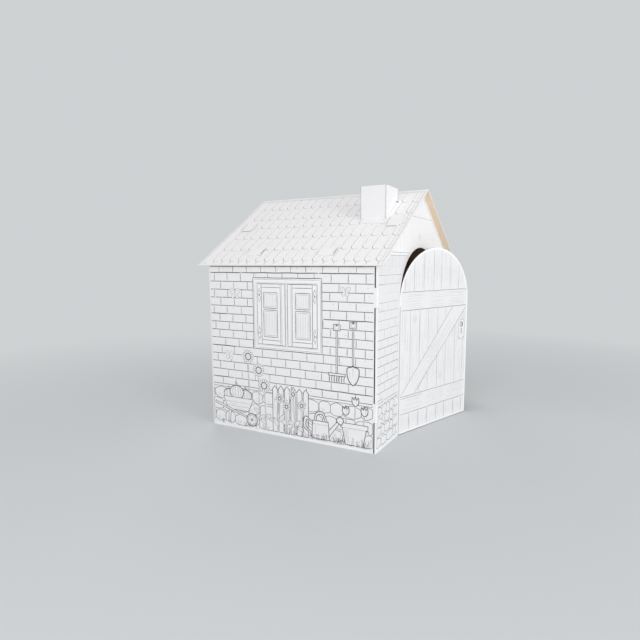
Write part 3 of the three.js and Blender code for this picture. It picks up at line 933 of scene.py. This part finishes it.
door_lines.append((0.6, freehand(shadow, draw)))
plate = [(449, 377), (500, 377), *ellipse(474.5, 447, 25.5, 24, 12, 0.0, math.pi), (449, 377)]
keyhole = [*ellipse(474, 421, 4, 4, 8, -0.9, 4.94), (471, 403), (477, 403)]
keyhole.append(keyhole[0])
door_lines = over(door_lines, [
    (0.9, plate), (1.3, keyhole),
    *[(0.7, ellipse(x, y, 2.2, 2.2, 6)) for x, y in ((455, 384), (494, 384))],
], plate[:-1])
door_lines = behind(door_lines, ellipse(*HOLE_MIDDLE, HOLE_REACH, HOLE_REACH))
# A dark line along the hinge crease: the print's border, with painted shade of the gap at the hinge.
door_lines.append((1.35, freehand([(5, 6), (5, DOOR_SPRING - 10)], draw, 0.2)))


def door_printed(s):
    """The print's tint stops short of the leaf's cut edge and of the finger hole."""
    across = s.dot(s.away_from(DOOR_AXIS), tuple(DOOR_ACROSS))
    up = s.along(PLUMB)
    from_middle = s.math("SUBTRACT", across, DOOR_WIDTH / 2000)
    leaf = inside_arch(s, from_middle, up, (DOOR_WIDTH / 2 - DOOR_MARGIN) / 1000, DOOR_SPRING / 1000,
                       (DOOR_RISE - DOOR_MARGIN) / 1000)
    beside = s.math("SUBTRACT", across, HOLE_MIDDLE[0] / 1000)
    above = s.math("ABSOLUTE", s.math("SUBTRACT", up, HOLE_MIDDLE[1] / 1000))
    reach = (HOLE_REACH + 0.5) / 1000
    hole = inside_arch(s, beside, above, reach, 0.0, reach)
    low = s.math("GREATER_THAN", up, DOOR_FOOT / 1000)
    return s.times(leaf, low, s.math("SUBTRACT", 1.0, hole))


dress("door", board("door_board", outward(DOOR_OUT), DOOR_ACROSS, door_printed, tint=DOOR_SHADED_TINT,
                    rim=DOOR_SHADED_RIM, core=DOOR_SHADED_CORE))
print_on("door_print", door_lines, plane(DOOR_AXIS, DOOR_ACROSS, PLUMB), "door",
         ink("door_print", (0.17, 0.17, 0.20)), width=2.3)

# Roof. One sheet folded at the ridge lies on the walls' flanges and on the gables, and hangs out
# over all four walls. It is printed with rows of pantiles under a ridge band. The print is measured
# along the ridge from the front gable and down the slope from the ridge.
ROOF_FRONT, ROOF_REAR, ROOF_EAVE = -30, 875, 613
FRONT_TINTED, REAR_TINTED = 0.021, 0.046
# The roof's brown liner is lighter than the walls' kraft: painted light on the undersides of the overhangs,
# which lie in shade.
ROOF_LIT_BROWN = (0.985, 0.805, 0.61)
TILE_ROWS = [24, 118, 220, 303, 397, 497, 586]
TILE_PITCH = 47
EAVE_TABS, EAVE_TAB_HALF, EAVE_HEAD = (252, 612), 38, (485, 548)
RAKE_TABS, RAKE_HEAD = ((-4, 65), (755, 824)), (247, 329)
CHIMNEY_PLACE, APRON_PLACE = (82, 90, 209, 262), (100, 255, 191, 304)
SLIT_END = [(81.5, 101), (81.5, 114)]


def pantiles(draw):
    """One slope: each tile has a long side line, a slanted hook at its foot and a faint lower edge.
    The drawing leaves out the places where tab heads lie, and beside each head it paints shade as dark lines."""
    lines = []
    for top, foot in zip(TILE_ROWS, TILE_ROWS[1:]):
        at = ROOF_FRONT + 44
        while at < ROOF_REAR - 16:
            x, level = at + draw.uniform(-2.5, 2.5), foot + draw.uniform(-3, 3)
            side = [(x - 2, top - 4), (x + draw.uniform(-1, 1), (top + foot) / 2), (x, level - 20)]
            lines.append((draw.uniform(0.5, 0.72), side))
            lines.append((1.15, [(x + 1, level - 22), (x - 3, level - 10), (x - 14, level + 1)]))
            lines.append((0.75, curved([(x - 14, level), (x - 22, level + 1), (x - 33, level - 6)], 3)))
            for _ in range(3):
                mark = (x - draw.uniform(8, 40), draw.uniform(top + 8, foot - 22))
                end = (mark[0] + draw.uniform(-2, 2), mark[1] + draw.uniform(3, 9))
                lines.append((0.45, [mark, end]))
            at += TILE_PITCH
    at = ROOF_FRONT + 24
    while at < ROOF_REAR - 12:
        lines.append((1.05, [(at, ROOF_EAVE - 5), (at + 5, ROOF_EAVE - 26)]))
        at += TILE_PITCH
    for level, weight in ((TILE_ROWS[0], 0.8), (TILE_ROWS[0] - 9, 0.5)):
        lines.append((weight, freehand([(ROOF_FRONT + 10, level), (ROOF_REAR - 10, level)], draw)))
    for x, weight in ((ROOF_FRONT + 9, 0.5), (ROOF_FRONT + 21, 0.45), (ROOF_REAR - 9, 0.8)):
        lines.append((weight, freehand([(x, 14), (x, ROOF_EAVE - 9)], draw)))
    top, foot = EAVE_HEAD
    for place in EAVE_TABS:
        front = place - EAVE_TAB_HALF
        lines = behind(lines, rectangle(front, top, place + EAVE_TAB_HALF, foot)[:-1])
        # Dark lines along one side and the top of each head: painted shade of its raised edge and of the
        # slit.
        lines.append((1.9, [(front - 1, top - 1), (front - 1, foot - 2)]))
        lines.append((1.0, [(front - 1, top - 1), (front - 10, top + 5)]))
    top, foot = RAKE_HEAD
    for start, end in RAKE_TABS:
        lines = behind(lines, rectangle(start, top, end, foot)[:-1])
        # Dark lines along one side and the foot of each head: painted shade of its raised edge.
        lines.append((1.2, [(end + 1, top + 1), (end + 1, foot - 19)]))
        lines.append((0.6, [(end + 1, foot + 2), (end - 26, foot + 2)]))
    return lines


def roof_printed(s):
    """The print's tint stops short of the rakes."""
    along_y = s.along((0, 1, 0))
    return s.times(s.math("GREATER_THAN", along_y, FRONT_FACE - FRONT_TINTED),
                   s.math("LESS_THAN", along_y, REAR_FACE + REAR_TINTED))


def roof_outside(s):
    """White upwards and brown downwards. The cut edge of an eave looks down less than the underside,
    and stays between the two."""
    return s.times(s.along(PLUMB, "Normal"), 0.75)


dress("roof", board("roof_board", roof_outside, (0, 1, 0), roof_printed, tint=ROOF_TINT, brown=ROOF_LIT_BROWN))
roof_line = ink("roof_print", (0.22, 0.21, 0.23))
for side, name in ((-1, "left_slope_print"), (1, "right_slope_print")):
    lines = pantiles(random.Random(41 + side))
    if side < 0:
        for place in (CHIMNEY_PLACE, APRON_PLACE):
            lines = behind(lines, rectangle(*place)[:-1])
    face = plane((0, FRONT_FACE, RIDGE_TOP), (0, 1, 0), slope_down(side))
    print_on(name, lines, face, "house", roof_line, width=2.2)
    if side < 0:
        # A dot of black ink beside the chimney's front tab is painted shade in the end of its slit.
        print_on("slit_end_shade", [(1.0, SLIT_END)], face, "house",
                 ink("slit_shade", (0.004, 0.004, 0.004)), width=7)

# Chimney. One plain strip folded round four corners, with a glue flap inside, an apron folded out
# down the slope and two tabs through the roof. Shade is painted along its creases.
CHIMNEY_MIDDLE, CHIMNEY_HALF = (-0.1465, -0.2095), (0.0695, 0.0605)
CHIMNEY_WHITE = (0.835, 0.833, 0.845)
CHIMNEY_RIM, CHIMNEY_CORE = (0.83, 0.82, 0.81), (0.76, 0.74, 0.72)
# How far from each fold the painted shade begins and ends, and how dark it is.
FOLD_OUTER, FOLD_INNER, FOLD_SHADE_DEPTH = 0.0028, 0.0048, 0.55
FACING_GAIN = 40.0


def apron(s):
    """1 on the flap that lies on the slope."""
    return s.math("LESS_THAN", s.along((1, 0, 0)), CHIMNEY_MIDDLE[0] - CHIMNEY_HALF[0] - 0.0002)


def chimney_outside(s):
    """White away from the chimney's own middle, brown towards it, and on the apron white upwards. The
    walls stand only some 65 millimetres from the middle, so what they read is multiplied."""
    level = s.vector("MULTIPLY", s.away_from((*CHIMNEY_MIDDLE, 0)), (1, 1, 0))["Vector"]
    upright = s.times(s.dot(level, s.place["Normal"]), FACING_GAIN, s.math("SUBTRACT", 1.0, apron(s)))
    lying = s.times(s.along(slope_out(-1), "Normal"), apron(s))
    return s.math("ADD", upright, lying)


def chimney_fold_shade(s):
    """Painted shade along the four folds."""
    reach = s.away_from((*CHIMNEY_MIDDLE, 0))
    near = []
    for axis, half in zip(((1, 0, 0), (0, 1, 0)), CHIMNEY_HALF):
        apart = s.math("ABSOLUTE", s.dot(reach, axis))
        near.append(s.range(apart, half - FOLD_INNER, half - FOLD_OUTER))
    return s.times(*near, FOLD_SHADE_DEPTH)


dress("chimney", board("chimney_board", chimney_outside, (1, 1, 0), apron, chimney_fold_shade, tint=ROOF_TINT,
                       plain=CHIMNEY_WHITE, rim=CHIMNEY_RIM, core=CHIMNEY_CORE))

# Studio: a wide pale floor that fades into the backdrop's own colour, soft lamps on both sides, and
# the camera where the photograph was taken from.
PALE = (0.62, 0.64, 0.65)
bpy.ops.mesh.primitive_circle_add(vertices=96, radius=60, fill_type="NGON", location=(0, 0, 0))
floor = bpy.context.object
floor.name = "floor"
s = Shader("floor_paper")
rings = s.vector("LENGTH", s.vector("MULTIPLY", s.place["Object"], (1, 1, 0))["Vector"])["Value"]
grain = s.noise(220, detail=2)
s.finish((*PALE, 1), 0.9, grain, 0.0002)
glow = s.node("ShaderNodeEmission")
glow.inputs["Color"].default_value = (*PALE, 1)
fade = s.node("ShaderNodeMixShader")
s.fill(fade.inputs, [s.range(rings, 1.1, 3.4), s.surface.outputs[0], glow.outputs[0]])
s.fill([s.tree.nodes["Material Output"].inputs["Surface"]], [fade.outputs[0]])
floor.data.materials.append(s.material)

world = bpy.data.worlds.new("studio")
bpy.context.scene.world = world
world.use_nodes = True
sky = world.node_tree.nodes["Background"]
sky.inputs["Color"].default_value = (0.985, 0.985, 1.0, 1)
sky.inputs["Strength"].default_value = 0.55
seen = world.node_tree.nodes.new("ShaderNodeBackground")
seen.inputs["Color"].default_value = (*PALE, 1)
path = world.node_tree.nodes.new("ShaderNodeLightPath")
pick = world.node_tree.nodes.new("ShaderNodeMixShader")
world.node_tree.links.new(path.outputs["Is Camera Ray"], pick.inputs[0])
world.node_tree.links.new(sky.outputs[0], pick.inputs[1])
world.node_tree.links.new(seen.outputs[0], pick.inputs[2])
world.node_tree.links.new(pick.outputs[0], world.node_tree.nodes["World Output"].inputs[0])

for name, spot, size, power in (("front_lamp", (-2.4, -5.0, 1.0), 2.0, 112),
                                ("high_lamp", (-1.0, -4.0, 3.2), 2.0, 20),
                                ("low_lamp", (-3.4, -0.5, 0.4), 1.2, 9),
                                ("left_lamp", (-3.6, -1.0, 3.4), 3.0, 49),
                                ("back_lamp", (3.2, 3.4, 3.0), 3.0, 60)):
    lamp = bpy.data.lights.new(name, "AREA")
    lamp.size = size
    lamp.energy = power
    holder = bpy.data.objects.new(name, lamp)
    holder.location = spot
    holder.rotation_euler = (Vector((0, 0, 0.5)) - Vector(spot)).to_track_quat("-Z", "Y").to_euler()
    bpy.context.scene.collection.objects.link(holder)

lens = bpy.data.cameras.new("camera")
lens.sensor_width = 36
lens.lens = 27.77
lens.shift_x = -0.0300
lens.shift_y = 0.0119
camera = bpy.data.objects.new("camera", lens)
camera.location = (-2.2000, -1.0936, 0.7357)
camera.rotation_euler = Vector((0.8771, 0.4631, -0.1273)).to_track_quat("-Z", "Y").to_euler()
bpy.context.scene.collection.objects.link(camera)
bpy.context.scene.camera = camera
bpy.context.scene.view_settings.view_transform = "Standard"
